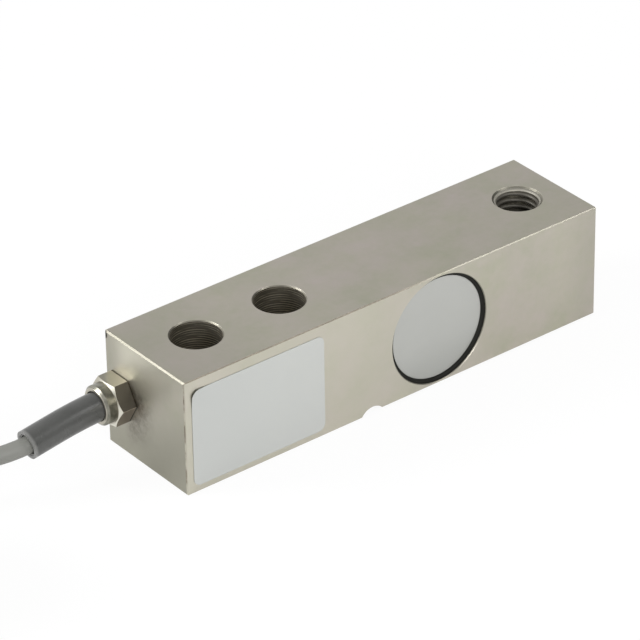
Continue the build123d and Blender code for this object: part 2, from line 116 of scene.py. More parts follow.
def hank_point(step):
    """A control point of the cable in the hank, so many steps after it enters."""
    changes, since = divmod(step / turn_steps - first_change, change_every)
    place = max(0.0, changes + min(1.0, since / change_span))
    place = min(place, len(columns) - 1.0)
    low = min(int(place), len(columns) - 2)
    share = place - low
    share = share * share * (3 - 2 * share)
    column = columns[low] + share * (columns[low + 1] - columns[low])
    layer = low // 2 + share * ((low + 1) // 2 - low // 2)
    x, y = turn_point(step, cable_d * (0.5 + column))
    z = cable_d * (0.5 + layer)
    from_waist = min(abs(step % turn_steps - waist) for waist in waist_steps)
    z += tie_lift * max(0.0, 1 - layer / top_layer) * max(0.0, 1 - from_waist / waist_reach)
    z -= top_strand_sink * max(0.0, layer - top_layer)
    return hank_middle[0] + x, hank_middle[1] + y, z


last_step = whole_turns * turn_steps + waist_steps[0] + end_step
hank_steps = [*range(int(last_step) + 1), last_step]
cable_points = lead_route + [hank_point(step) for step in hank_steps]
cable_curve = bpy.data.curves.new("cable", "CURVE")
cable_curve.dimensions = "3D"
cable_line = cable_curve.splines.new("NURBS")
cable_line.points.add(len(cable_points) - 1)
for point, place in zip(cable_line.points, cable_points):
    point.co = (*place, 1)
cable_line.use_endpoint_u = True
cable_line.order_u = 3
cable_line.resolution_u = 6
cable_curve.bevel_depth = cable_d / 2
cable_curve.bevel_resolution = 6
cable_curve.use_fill_caps = True
cable = bpy.data.objects.new("cable", cable_curve)
bpy.context.scene.collection.objects.link(cable)


def new_material(name, colour, roughness, metallic=0.0):
    """A material with its Principled shader set plainly. Returns it with its tree and its shader."""
    made = bpy.data.materials.new(name)
    made.use_nodes = True
    shader = made.node_tree.nodes["Principled BSDF"]
    shader.inputs["Base Color"].default_value = colour
    shader.inputs["Roughness"].default_value = roughness
    shader.inputs["Metallic"].default_value = metallic
    return made, made.node_tree, shader


def new_group(name, inputs, outputs):
    """An empty shader node group. Inputs are (name, type, default), outputs are (name, type)."""
    group = bpy.data.node_groups.new(name, "ShaderNodeTree")
    for label, kind, default in inputs:
        socket = group.interface.new_socket(label, in_out="INPUT", socket_type=kind)
        socket.default_value = default
    for label, kind in outputs:
        group.interface.new_socket(label, in_out="OUTPUT", socket_type=kind)
    return group, group.nodes.new("NodeGroupInput"), group.nodes.new("NodeGroupOutput")


def feed(tree, socket, value):
    """Links another node's socket to this one, or sets this one to a value."""
    if isinstance(value, bpy.types.NodeSocket):
        tree.links.new(value, socket)
    else:
        socket.default_value = value


def math_node(tree, operation, first, second=0.0):
    """A Math node whose inputs are sockets or numbers. Returns its output."""
    node = tree.nodes.new("ShaderNodeMath")
    node.operation = operation
    feed(tree, node.inputs[0], first)
    feed(tree, node.inputs[1], second)
    return node.outputs[0]


def product_node(tree, first, *others):
    """Math nodes that multiply sockets or numbers. Returns the last one's output."""
    for other in others:
        first = math_node(tree, "MULTIPLY", first, other)
    return first


def noise_node(tree, vector, scale, detail=2.0, roughness=0.5):
    """A Noise Texture whose scale is a socket or a number. Returns its factor."""
    node = tree.nodes.new("ShaderNodeTexNoise")
    settings = {"Vector": vector, "Scale": scale, "Detail": detail, "Roughness": roughness}
    for label, value in settings.items():
        feed(tree, node.inputs[label], value)
    return node.outputs["Fac"]


def mix_node(tree, factor, first, second):
    """A colour Mix node whose factor and colours are sockets or values. Returns its output."""
    node = tree.nodes.new("ShaderNodeMix")
    node.data_type = "RGBA"
    for index, value in ((0, factor), (6, first), (7, second)):
        feed(tree, node.inputs[index], value)
    return node.outputs[2]


def place_group(tree, group, vector, **values):
    """A node group in a material. Its inputs are linked or set, with _ for a space in their names."""
    node = tree.nodes.new("ShaderNodeGroup")
    node.node_tree = group
    tree.links.new(vector, node.inputs["Vector"])
    for label, value in values.items():
        feed(tree, node.inputs[label.replace("_", " ")], value)
    return node


# Mottle: a soft change of colour over a surface, in two sizes, towards a second colour
fine_times = 6.3             # how much finer the small patches are than the broad ones
fine_share = 0.3
least_mottle = 0.32          # the noise at which the second colour begins
mottle_gain = 2.6
mottle, start, end = new_group(
    "mottle",
    [
        ("Vector", "NodeSocketVector", (0, 0, 0)),
        ("Colour", "NodeSocketColor", (1, 1, 1, 1)),
        ("Second colour", "NodeSocketColor", (0, 0, 0, 1)),
        ("Scale", "NodeSocketFloat", 100.0),
        ("Amount", "NodeSocketFloat", 0.5),
    ],
    [("Colour", "NodeSocketColor")],
)
broad = noise_node(mottle, start.outputs["Vector"], start.outputs["Scale"], detail=3.0)
fine_scale = product_node(mottle, start.outputs["Scale"], fine_times)
fine = noise_node(mottle, start.outputs["Vector"], fine_scale, detail=4.0, roughness=0.6)
fine = product_node(mottle, fine, fine_share)
both = math_node(mottle, "ADD", product_node(mottle, broad, 1 - fine_share), fine)
share = math_node(mottle, "SUBTRACT", both, least_mottle)
share = product_node(mottle, share, mottle_gain, start.outputs["Amount"])
mottled = mix_node(mottle, share, start.outputs["Colour"], start.outputs["Second colour"])
mottle.links.new(mottled, end.inputs["Colour"])

# Grain: fine unevenness of a surface, as a height and a change of roughness in broader patches
patch_times = 0.13
grain, start, end = new_group(
    "grain",
    [
        ("Vector", "NodeSocketVector", (0, 0, 0)),
        ("Scale", "NodeSocketFloat", 1500.0),
        ("Least roughness", "NodeSocketFloat", 0.3),
        ("Most roughness", "NodeSocketFloat", 0.5),
    ],
    [("Height", "NodeSocketFloat"), ("Roughness", "NodeSocketFloat")],
)
grains = noise_node(grain, start.outputs["Vector"], start.outputs["Scale"], detail=4.0, roughness=0.6)
patch_scale = product_node(grain, start.outputs["Scale"], patch_times)
patches = noise_node(grain, start.outputs["Vector"], patch_scale, detail=2.0)
reach = math_node(grain, "SUBTRACT", start.outputs["Most roughness"], start.outputs["Least roughness"])
rough = math_node(grain, "ADD", start.outputs["Least roughness"], product_node(grain, reach, patches))
grain.links.new(grains, end.inputs["Height"])
grain.links.new(rough, end.inputs["Roughness"])


def dress(tree, shader, colour, second, scale, amount, grain_scale, roughness, bump):
    """Joins a material's mottle and grain groups to its shader. Roughness is (least, most), and bump
    is the grain's depth. Returns the coordinates and the mottled colour."""
    vector = tree.nodes.new("ShaderNodeTexCoord").outputs["Object"]
    tint = place_group(
        tree, mottle, vector, Colour=colour, Second_colour=second, Scale=scale, Amount=amount
    )
    least, most = roughness
    tooth = place_group(
        tree, grain, vector, Scale=grain_scale, Least_roughness=least, Most_roughness=most
    )
    relief = tree.nodes.new("ShaderNodeBump")
    relief.inputs["Strength"].default_value = 1.0
    relief.inputs["Distance"].default_value = bump
    tree.links.new(tooth.outputs["Height"], relief.inputs["Height"])
    tree.links.new(tint.outputs["Colour"], shader.inputs["Base Color"])
    tree.links.new(tooth.outputs["Roughness"], shader.inputs["Roughness"])
    tree.links.new(relief.outputs["Normal"], shader.inputs["Normal"])
    return vector, tint.outputs["Colour"]


jacket, tree, shader = new_material("cable_jacket", cable_grey, 0.55)
dress(
    tree, shader, cable_grey, cable_patch,
    scale=180.0, amount=0.5, grain_scale=2600.0, roughness=(0.48, 0.62), bump=0.00002,
)
cable_curve.materials.append(jacket)
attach(cable, "root")
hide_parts("cable_lead", "cable_hank")


# Tie: a black nylon strap, pulled tight through its own head round the waist of the hank. Its cut
# end stands up from the head.
tie_black = (0.020, 0.020, 0.021, 1)
tie_worn = (0.035, 0.035, 0.035, 1)
nylon, tree, shader = new_material("tie_nylon", tie_black, 0.45)
dress(
    tree, shader, tie_black, tie_worn,
    scale=300.0, amount=0.4, grain_scale=2500.0, roughness=(0.4, 0.55), bump=0.00001,
)
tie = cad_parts["hank_tie"]
tie.data.materials[0] = nylon


# Bared end of the cable: four insulated cores with tinned ends, and the screen's drain wire. They
# lie on the hank past the tie.
core_colours = {
    "red": (0.42, 0.025, 0.02, 1),
    "black": (0.015, 0.015, 0.015, 1),
    "green": (0.02, 0.17, 0.05, 1),
    "white": (0.62, 0.62, 0.58, 1),
}
core_shade = 0.75            # of a core's colour, in its darker patches
core_materials = {}
for name, colour in core_colours.items():
    made, tree, shader = new_material(f"core_{name}", colour, 0.4)
    darker = tuple(core_shade * value for value in colour[:3]) + (1,)
    dress(
        tree, shader, colour, darker,
        scale=400.0, amount=0.4, grain_scale=3000.0, roughness=(0.35, 0.48), bump=0.00001,
    )
    core_materials[name] = made
tin_colour = (0.45, 0.44, 0.41, 1)
bare_copper = (0.36, 0.33, 0.29, 1)
tin, tree, shader = new_material("tinned_copper", tin_colour, 0.35, metallic=1.0)
dress(
    tree, shader, tin_colour, bare_copper,
    scale=900.0, amount=0.6, grain_scale=4000.0, roughness=(0.28, 0.45), bump=0.00002,
)
tail_nodes = [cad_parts[f"tail_core_{name}"] for name in core_colours]
for node, name in zip(tail_nodes, core_colours):
    node.data.materials[0] = core_materials[name]
for name in ("tail_conductors", "tail_drain"):
    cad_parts[name].data.materials[0] = tin
    tail_nodes.append(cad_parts[name])


# Bar: milled from square alloy steel and nickel plated all over, with a satin surface that is
# slightly blotched. The fixing holes are drilled and scored by the drill, and painted shade darkens
# them inside.
bar_end_x = -0.0284          # the cable end's face
bar_half_width = 0.0159
bar_top_z = 0.0318
end_break = 0.0004           # the bevel on the end face's edges
long_break = 0.0002          # the bevel on the edges along the bar
near = 0.00004               # a point this near a face or a bevel counts as on it
holes = [((-0.0127, 0, 0), 0.0065), ((0.0127, 0, 0), 0.0065), ((0.0889, 0, 0), 0.0060)]
hole_rim = 0.0012            # how far the painted shade on a hole's rim reaches past its wall
pocket_middle = (0.0502, 0, 0.0160)
pocket_rim_r = 0.0156        # just outside the pocket's edge
scoring_pitch = 0.00065
chip_middle = (bar_end_x, bar_half_width, 0.0307)
plate_colour = (0.500, 0.481, 0.395, 1)
plate_green = (0.412, 0.423, 0.318, 1)
plate_pink = (0.552, 0.492, 0.468, 1)
bore_shade_colour = (0.30, 0.275, 0.225, 1)
score_colour = (0.82, 0.78, 0.66, 1)
gland_shade_colour = (0.205, 0.190, 0.158, 1)
plate_shade_colour = (0.335, 0.325, 0.270, 1)
painted_light_colour = (0.625, 0.605, 0.51, 1)
edge_shade_colour = (0.235, 0.224, 0.186, 1)
dark_reflection_colour = (0.23, 0.205, 0.165, 1)
chip_colour = (0.03, 0.027, 0.02, 1)

# Where each mark, painted light and shade among them, begins and where it is full, and then for some
# its least and its greatest share. The lean is a height on the end face that grows towards its far side
# too.
lean_share = 0.35
bright_lean = (0.016, 0.028, 0.0, 1.4)
bright_end_y = (0.0150, 0.0070)
bright_front_x = (0.075, 0.020)
bright_share = 0.5
plate_shade_lean = (0.026, 0.006)
plate_shade_end_y = (0.0060, 0.0155, 0.0, 0.75)
plate_shade_front_x = (0.088, 0.1016, 0.0, 0.25)
plate_shade_top_x = (0.004, -0.026, 0.0, 0.35)
gland_shade_r = (0.0150, 0.0065)
gland_shade_y = (0.0095, 0.0055)
gland_shade_z = (0.0240, 0.0170)
gland_shade_noise = (0.38, 0.62, 0.35, 1.0)
edge_shade_share = 0.8
dark_front_edge_x = (0.060, 0.030)
upright_dark_noise = (0.40, 0.60)
upright_dark_width = 0.00022         # from the end face
chip_r = (0.0014, 0.0009)
scoring_noise = (0.40, 0.56)
scoring_wobble = 0.2         # of the pitch


def vector_node(tree, operation, first, second=(0, 0, 0)):
    """A Vector Math node. Returns its value where the operation gives a number, and else its vector."""
    node = tree.nodes.new("ShaderNodeVectorMath")
    node.operation = operation
    feed(tree, node.inputs[0], first)
    feed(tree, node.inputs[1], second)
    gives_number = operation in ("LENGTH", "DISTANCE", "DOT_PRODUCT")
    return node.outputs["Value" if gives_number else "Vector"]


def ramp_node(tree, value, first, last, start=0.0, end=1.0):
    """A smooth change from start to end while a value goes from first to last."""
    node = tree.nodes.new("ShaderNodeMapRange")
    node.interpolation_type = "SMOOTHSTEP"
    tree.links.new(value, node.inputs["Value"])
    for label, bound in (("From Min", first), ("From Max", last), ("To Min", start), ("To Max", end)):
        node.inputs[label].default_value = bound
    return node.outputs["Result"]


def split_node(tree, vector):
    """The X, Y and Z of a vector."""
    node = tree.nodes.new("ShaderNodeSeparateXYZ")
    tree.links.new(vector, node.inputs[0])
    return node.outputs["X"], node.outputs["Y"], node.outputs["Z"]


def distance_node(tree, vector, centre, axes):
    """How far a point is from a centre, along those axes that are 1 and not 0."""
    apart = vector_node(tree, "SUBTRACT", vector, centre)
    return vector_node(tree, "LENGTH", vector_node(tree, "MULTIPLY", apart, axes))


# Bore: whether a point is inside a hole up the bar or on its upper rim, and the scoring that the
# drill left on the wall, as broken lines that wind up it
bore, start, end = new_group(
    "bore",
    [
        ("Vector", "NodeSocketVector", (0, 0, 0)),
        ("Centre", "NodeSocketVector", (0, 0, 0)),
        ("Radius", "NodeSocketFloat", 0.0065),
        ("Pitch", "NodeSocketFloat", 0.001),
    ],
    [("Inside", "NodeSocketFloat"), ("Scoring", "NodeSocketFloat"), ("Rim", "NodeSocketFloat")],
)
across = distance_node(bore, start.outputs["Vector"], start.outputs["Centre"], (1, 1, 0))
inside = math_node(bore, "LESS_THAN", across, math_node(bore, "ADD", start.outputs["Radius"], near))
from_centre = vector_node(bore, "SUBTRACT", start.outputs["Vector"], start.outputs["Centre"])
along_x, along_y, along_z = split_node(bore, from_centre)
turn = math_node(bore, "ARCTAN2", along_y, along_x)
rise = math_node(bore, "DIVIDE", along_z, start.outputs["Pitch"])
line = math_node(bore, "ADD", rise, math_node(bore, "DIVIDE", turn, 2 * pi))
cell = bore.nodes.new("ShaderNodeCombineXYZ")
bore.links.new(line, cell.inputs["X"])
bore.links.new(product_node(bore, turn, 0.7), cell.inputs["Y"])
broken = noise_node(bore, cell.outputs[0], 0.9, detail=3.0, roughness=0.6)
broken = ramp_node(bore, broken, *scoring_noise)
ripple = math_node(bore, "ADD", line, product_node(bore, broken, scoring_wobble))
ripple = math_node(bore, "SINE", product_node(bore, ripple, 2 * pi))
scored = product_node(bore, ramp_node(bore, ripple, 0.1, 0.9), broken, inside)
beside = math_node(bore, "LESS_THAN", across, math_node(bore, "ADD", start.outputs["Radius"], hole_rim))
below_top = math_node(bore, "LESS_THAN", along_z, bar_top_z - near)
rim = product_node(bore, beside, below_top, math_node(bore, "SUBTRACT", 1.0, inside))
bore.links.new(inside, end.inputs["Inside"])
bore.links.new(scored, end.inputs["Scoring"])
bore.links.new(rim, end.inputs["Rim"])

steel, tree, shader = new_material("nickel_plate", plate_colour, 0.5, metallic=1.0)
vector, tint = dress(
    tree, shader, plate_colour, plate_green,
    scale=60.0, amount=0.9, grain_scale=2200.0, roughness=(0.37, 0.47), bump=0.000012,
)
blotch = place_group(
    tree, mottle, vector, Colour=tint, Second_colour=plate_pink, Scale=85.0, Amount=0.8
)
in_bores = 0.0
scoring = 0.0
rims = 0.0
for centre, radius in holes:
    hole = place_group(tree, bore, vector, Centre=centre, Radius=radius, Pitch=scoring_pitch)
    in_bores = math_node(tree, "ADD", hole.outputs["Inside"], in_bores)
    scoring = math_node(tree, "ADD", hole.outputs["Scoring"], scoring)
    rims = math_node(tree, "ADD", hole.outputs["Rim"], rims)
# Painted shade darkens the holes inside and on their rims, and the drill's scoring is pale
colour = mix_node(tree, in_bores, blotch.outputs["Colour"], bore_shade_colour)
colour = mix_node(tree, scoring, colour, score_colour)
colour = mix_node(tree, rims, colour, edge_shade_colour)

x, y, z = split_node(tree, vector)
half_width = math_node(tree, "ABSOLUTE", y)
on_end = math_node(tree, "LESS_THAN", x, bar_end_x + near)
on_front = math_node(tree, "LESS_THAN", y, near - bar_half_width)
on_top = math_node(tree, "GREATER_THAN", z, bar_top_z - near)
lean = math_node(tree, "ADD", z, product_node(tree, y, lean_share))

# Painted light: the plate is brighter high on the end face and along the front's cable end
bright_end = product_node(
    tree, ramp_node(tree, lean, *bright_lean), ramp_node(tree, y, *bright_end_y), on_end
)
bright_front = product_node(tree, ramp_node(tree, x, *bright_front_x), on_front)
bright = product_node(tree, math_node(tree, "ADD", bright_end, bright_front), bright_share)
colour = mix_node(tree, bright, colour, painted_light_colour)

# Painted shade: it is darker low on the end face and at its far side, at the front's loaded end, and at
# the top's cable end
plate_shade_end = product_node(tree, ramp_node(tree, lean, *plate_shade_lean), on_end)
plate_shade_far = product_node(tree, ramp_node(tree, y, *plate_shade_end_y), on_end)
plate_shade_front = product_node(tree, ramp_node(tree, x, *plate_shade_front_x), on_front)
plate_shade_top = product_node(tree, ramp_node(tree, x, *plate_shade_top_x), on_top)
plate_shade = math_node(tree, "MAXIMUM", plate_shade_end, math_node(tree, "ADD", plate_shade_far, plate_shade_front))
colour = mix_node(tree, math_node(tree, "ADD", plate_shade, plate_shade_top), colour, plate_shade_colour)

# Painted shade lies in patches on the end face, beside and below the gland
from_gland = distance_node(tree, vector, gland_axis, (0, 1, 1))
patches = noise_node(tree, vector, 620.0, detail=5.0, roughness=0.7)
gland_shade = product_node(
    tree,
    ramp_node(tree, from_gland, *gland_shade_r),
    ramp_node(tree, y, *gland_shade_y),
    ramp_node(tree, z, *gland_shade_z),
    ramp_node(tree, patches, *gland_shade_noise),
    on_end,
)
colour = mix_node(tree, gland_shade, colour, gland_shade_colour)

# Painted shade darkens the end face's top edge and the pockets' edges and walls
end_edge = bar_top_z - bar_end_x - end_break - near
edge_shade = math_node(tree, "GREATER_THAN", math_node(tree, "SUBTRACT", z, x), end_edge)
by_pocket = math_node(
    tree, "LESS_THAN", distance_node(tree, vector, pocket_middle, (1, 0, 1)), pocket_rim_r
)
below_side = math_node(tree, "LESS_THAN", half_width, bar_half_width - near)
edge_shade = math_node(tree, "ADD", edge_shade, product_node(tree, by_pocket, below_side))
colour = mix_node(tree, product_node(tree, edge_shade, edge_shade_share), colour, edge_shade_colour)

# A painted dark reflection lies along the front's top edge towards the cable end, and broken up on the
# end face's upright edges. One corner is chipped.
front_edge = bar_top_z + bar_half_width - long_break - near
dark_front_edge = math_node(tree, "GREATER_THAN", math_node(tree, "SUBTRACT", z, y), front_edge)
dark_front_edge = product_node(tree, dark_front_edge, ramp_node(tree, x, *dark_front_edge_x))
colour = mix_node(tree, dark_front_edge, colour, dark_reflection_colour)
chipped = ramp_node(tree, vector_node(tree, "DISTANCE", vector, chip_middle), *chip_r)
colour = mix_node(tree, chipped, colour, chip_colour)
upright_edge = bar_half_width - bar_end_x - end_break - near
on_upright = math_node(tree, "GREATER_THAN", math_node(tree, "SUBTRACT", half_width, x), upright_edge)
at_end = math_node(tree, "LESS_THAN", x, bar_end_x + upright_dark_width)
upright_dark = ramp_node(tree, noise_node(tree, vector, 240.0, detail=3.0), *upright_dark_noise)
colour = mix_node(tree, product_node(tree, on_upright, at_end, upright_dark), colour, dark_reflection_colour)
tree.links.new(colour, shader.inputs["Base Color"])
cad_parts["beam_body"].data.materials[0] = steel


# Load thread: the M12 thread cut in the free end's hole, a helical ridge in the bar's own steel. Its
# colour is painted shade, dark inside the hole, and its mouth is countersunk down to the crests and
# lighter.
load_hole = (0.0889, 0.0)
thread_pitch = 0.00175
thread_root_r = 0.0060
thread_crest_r = 0.00505
thread_root_width = 0.00153
thread_crest_width = 0.00040
thread_low = 0.0018
thread_high = 0.0307
thread_run_out = 0.012       # of the ridge's length, at each end
mouth_r = 0.00548            # where the countersink ends
mouth_width = 0.0015
steps_a_turn = 72
# Painted shade: the crest and root colours are dark for the shade in the hole, the mouth's less so
crest_colour = (0.095, 0.087, 0.072, 1)
crest_patch = (0.083, 0.078, 0.065, 1)
root_colour = (0.13, 0.12, 0.096, 1)
root_r = (thread_crest_r + 0.0001, thread_root_r - 0.0003)   # where its colour begins and is full
mouth_colour = (0.33, 0.315, 0.268, 1)


def shape_node(tree, kind, mode=None, **values):
    """A Geometry Nodes node. Its inputs are linked or set, with _ for a space in their names."""
    node = tree.nodes.new("GeometryNode" + kind)
    if mode:
        node.mode = mode
    for label, value in values.items():
        feed(tree, node.inputs[label.replace("_", " ")], value)
    return node


thread_tree = bpy.data.node_groups.new("thread", "GeometryNodeTree")
for label, kind in (
    ("Pitch", "NodeSocketFloat"),
    ("Turns", "NodeSocketFloat"),
    ("Steps a turn", "NodeSocketInt"),
    ("Root radius", "NodeSocketFloat"),
    ("Crest radius", "NodeSocketFloat"),
    ("Root width", "NodeSocketFloat"),
    ("Crest width", "NodeSocketFloat"),
    ("Run-out", "NodeSocketFloat"),
    ("Mouth radius", "NodeSocketFloat"),
    ("Mouth width", "NodeSocketFloat"),
    ("Place", "NodeSocketVector"),
    ("Steel", "NodeSocketMaterial"),
):
    thread_tree.interface.new_socket(label, in_out="INPUT", socket_type=kind)
thread_tree.interface.new_socket("Geometry", in_out="OUTPUT", socket_type="NodeSocketGeometry")
sizes = thread_tree.nodes.new("NodeGroupInput").outputs

# The ridge follows a helix up the hole, and the countersink a ring
height = product_node(thread_tree, sizes["Turns"], sizes["Pitch"])
helix = shape_node(
    thread_tree, "CurveSpiral", Resolution=sizes["Steps a turn"], Rotations=sizes["Turns"],
    Start_Radius=sizes["Root radius"], End_Radius=sizes["Root radius"], Height=height, Reverse=True,
)
ring = shape_node(
    thread_tree, "CurvePrimitiveCircle", Resolution=sizes["Steps a turn"], Radius=sizes["Root radius"]
)
ways = []
for route in (helix, ring):
    upright = shape_node(thread_tree, "SetCurveNormal", mode="Z_UP", Curve=route.outputs["Curve"])
    ways.append(upright.outputs["Curve"])

# Each has a trapezium for its section, with its foot on the hole's wall
profiles = []
for inner_radius, width in (("Crest radius", "Root width"), ("Mouth radius", "Mouth width")):
    ridge_height = math_node(thread_tree, "SUBTRACT", sizes["Root radius"], sizes[inner_radius])
    stand = thread_tree.nodes.new("ShaderNodeCombineXYZ")
    feed(thread_tree, stand.inputs["X"], product_node(thread_tree, ridge_height, -0.5))
    section = shape_node(
        thread_tree, "CurvePrimitiveQuadrilateral", mode="TRAPEZOID", Height=ridge_height,
        Bottom_Width=sizes[width], Top_Width=sizes["Crest width"], Offset=0,
    )
    turned = shape_node(
        thread_tree, "Transform", Geometry=section.outputs["Curve"], Translation=stand.outputs[0],
        Rotation=(0, 0, pi / 2),
    )
    profiles.append(turned.outputs["Geometry"])

# The ridge grows from nothing at both ends, and the ring lies on its upper end
way = thread_tree.nodes.new("GeometryNodeSplineParameter").outputs["Factor"]
from_ends = math_node(thread_tree, "MINIMUM", way, math_node(thread_tree, "SUBTRACT", 1.0, way))
grown = math_node(thread_tree, "DIVIDE", from_ends, sizes["Run-out"])
grown = math_node(thread_tree, "MINIMUM", grown, 1.0)
ridge = shape_node(
    thread_tree, "CurveToMesh", Curve=ways[0], Profile_Curve=profiles[0], Scale=grown, Fill_Caps=True
)
sunk = shape_node(thread_tree, "CurveToMesh", Curve=ways[1], Profile_Curve=profiles[1])
top = thread_tree.nodes.new("ShaderNodeCombineXYZ")
feed(thread_tree, top.inputs["Z"], height)
raised = shape_node(
    thread_tree, "Transform", Geometry=sunk.outputs["Mesh"], Translation=top.outputs[0]
)
whole = shape_node(thread_tree, "JoinGeometry", Geometry=ridge.outputs["Mesh"])
feed(thread_tree, whole.inputs["Geometry"], raised.outputs["Geometry"])
placed = shape_node(
    thread_tree, "Transform", Geometry=whole.outputs["Geometry"], Translation=sizes["Place"]
)
real = shape_node(thread_tree, "RealizeInstances", Geometry=placed.outputs["Geometry"])
finished = shape_node(
    thread_tree, "SetMaterial", Geometry=real.outputs["Geometry"], Material=sizes["Steel"]
)
result = thread_tree.nodes.new("NodeGroupOutput")
feed(thread_tree, result.inputs["Geometry"], finished.outputs["Geometry"])

thread_steel, tree, shader = new_material("thread_steel", crest_colour, 0.5, metallic=0.4)
vector, tint = dress(
    tree, shader, crest_colour, crest_patch,
    scale=500.0, amount=0.6, grain_scale=3000.0, roughness=(0.42, 0.56), bump=0.000008,
)
across = distance_node(tree, vector, (*load_hole, 0), (1, 1, 0))
colour = mix_node(tree, ramp_node(tree, across, *root_r), tint, root_colour)
x, y, z = split_node(tree, vector)
countersunk = math_node(tree, "GREATER_THAN", z, thread_high + thread_crest_width / 2)
tree.links.new(mix_node(tree, countersunk, colour, mouth_colour), shader.inputs["Base Color"])

thread_maker = bpy.data.objects.new("thread_maker", bpy.data.meshes.new("thread_maker"))
bpy.context.scene.collection.objects.link(thread_maker)
nodes_modifier = thread_maker.modifiers.new("thread", "NODES")
nodes_modifier.node_group = thread_tree
thread_inputs = {
    "Pitch": thread_pitch,
    "Turns": (thread_high - thread_low) / thread_pitch,
    "Steps a turn": steps_a_turn,
    "Root radius": thread_root_r,
    "Crest radius": thread_crest_r,
    "Root width": thread_root_width,
    "Crest width": thread_crest_width,
    "Run-out": thread_run_out,
    "Mouth radius": mouth_r,
    "Mouth width": mouth_width,
    "Place": (*load_hole, thread_low),
    "Steel": thread_steel,
}
for item in thread_tree.interface.items_tree:
    if item.in_out == "INPUT":
        nodes_modifier[item.identifier] = thread_inputs[item.name]
evaluated = thread_maker.evaluated_get(bpy.context.evaluated_depsgraph_get())
thread_mesh = bpy.data.meshes.new_from_object(evaluated)
thread_maker.modifiers.remove(nodes_modifier)
bpy.data.objects.remove(thread_maker)
thread = bpy.data.objects.new("load_thread", thread_mesh)
bpy.context.scene.collection.objects.link(thread)
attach(thread, "root")


# Gland: a hollow nickel-plated hexagon screw with a round collar. It is turned and milled, so the
# collar's side is duller than the rest. Painted shade darkens it where it meets the bar, its facets
# carry painted shade and reflection, and its chamfer a painted highlight on its near side. A washer and
# a black rubber bush lie inside, pressed round the cable.
hexagon_front_x = -0.0332
chamfer_r = 0.0055           # where the chamfer of the hexagon's front begins
chamfer_slope = tan(radians(30))
chamfer_y = (0.0130, 0.0100)   # its near side has a painted highlight: this is where that begins and is full
collar_side_r = 0.00465      # the collar is its side from here out, and its front face within
facet_reach = 0.00568        # a little less than from the axis to a facet
seam_x = (bar_end_x - 0.00045, bar_end_x - 0.0002)   # where the painted shade begins and is full
gland_colour = (0.46, 0.437, 0.37, 1)
gland_patch = (0.40, 0.378, 0.312, 1)
collar_colour = (0.19, 0.187, 0.155, 1)
chamfer_highlight_colour = (0.70, 0.68, 0.59, 1)
seam_shade_colour = (0.035, 0.030, 0.022, 1)
facet_shades = [           # painted shade and reflection for the facets that the camera sees, with the way that each faces
    ((0, 0, 1), (0.31, 0.295, 0.245, 1)),
    ((0, -0.866, 0.5), (0.082, 0.075, 0.064, 1)),
    ((0, -0.866, -0.5), (0.37, 0.320, 0.270, 1)),
]
plated, tree, shader = new_material("gland_plate", gland_colour, 0.25, metallic=1.0)
vector, tint = dress(
    tree, shader, gland_colour, gland_patch,
    scale=160.0, amount=0.5, grain_scale=3000.0, roughness=(0.25, 0.35), bump=0.000006,
)
x, y, z = split_node(tree, vector)
across = distance_node(tree, vector, gland_axis, (0, 1, 1))
collar_side = product_node(
    tree,
    math_node(tree, "GREATER_THAN", across, collar_side_r),
    math_node(tree, "LESS_THAN", x, hexagon_front_x - near / 2),
    ramp_node(tree, noise_node(tree, vector, 700.0, detail=4.0), 0.35, 0.65, 1.0, 0.55),
)
colour = mix_node(tree, collar_side, tint, collar_colour)
from_axis = vector_node(tree, "SUBTRACT", vector, gland_axis)
for normal, facet_shade in facet_shades:
    reach = vector_node(tree, "DOT_PRODUCT", from_axis, normal)
    colour = mix_node(tree, math_node(tree, "GREATER_THAN", reach, facet_reach), colour, facet_shade)

# The chamfer is a cone, so its depth behind the hexagon's front goes with the distance from the axis
depth = math_node(tree, "SUBTRACT", x, hexagon_front_x)
cone = product_node(tree, math_node(tree, "SUBTRACT", across, chamfer_r), chamfer_slope)
off_cone = math_node(tree, "ABSOLUTE", math_node(tree, "SUBTRACT", depth, cone))
on_cone = product_node(
    tree,
    math_node(tree, "LESS_THAN", off_cone, near),
    math_node(tree, "GREATER_THAN", across, chamfer_r + near / 2),
    ramp_node(tree, y, *chamfer_y),
)
# Painted highlight on the chamfer's near side
colour = mix_node(tree, on_cone, colour, chamfer_highlight_colour)
# Painted shade where the gland meets the bar
colour = mix_node(tree, ramp_node(tree, x, *seam_x), colour, seam_shade_colour)
tree.links.new(colour, shader.inputs["Base Color"])
for name in ("gland_screw", "gland_washer"):
    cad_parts[name].data.materials[0] = plated

rubber_black = (0.015, 0.015, 0.015, 1)
rubber_worn = (0.03, 0.03, 0.03, 1)
rubber, tree, shader = new_material("black_rubber", rubber_black, 0.6)
dress(
    tree, shader, rubber_black, rubber_worn,
    scale=300.0, amount=0.4, grain_scale=3000.0, roughness=(0.5, 0.7), bump=0.00001,
)
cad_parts["gland_bush"].data.materials[0] = rubber


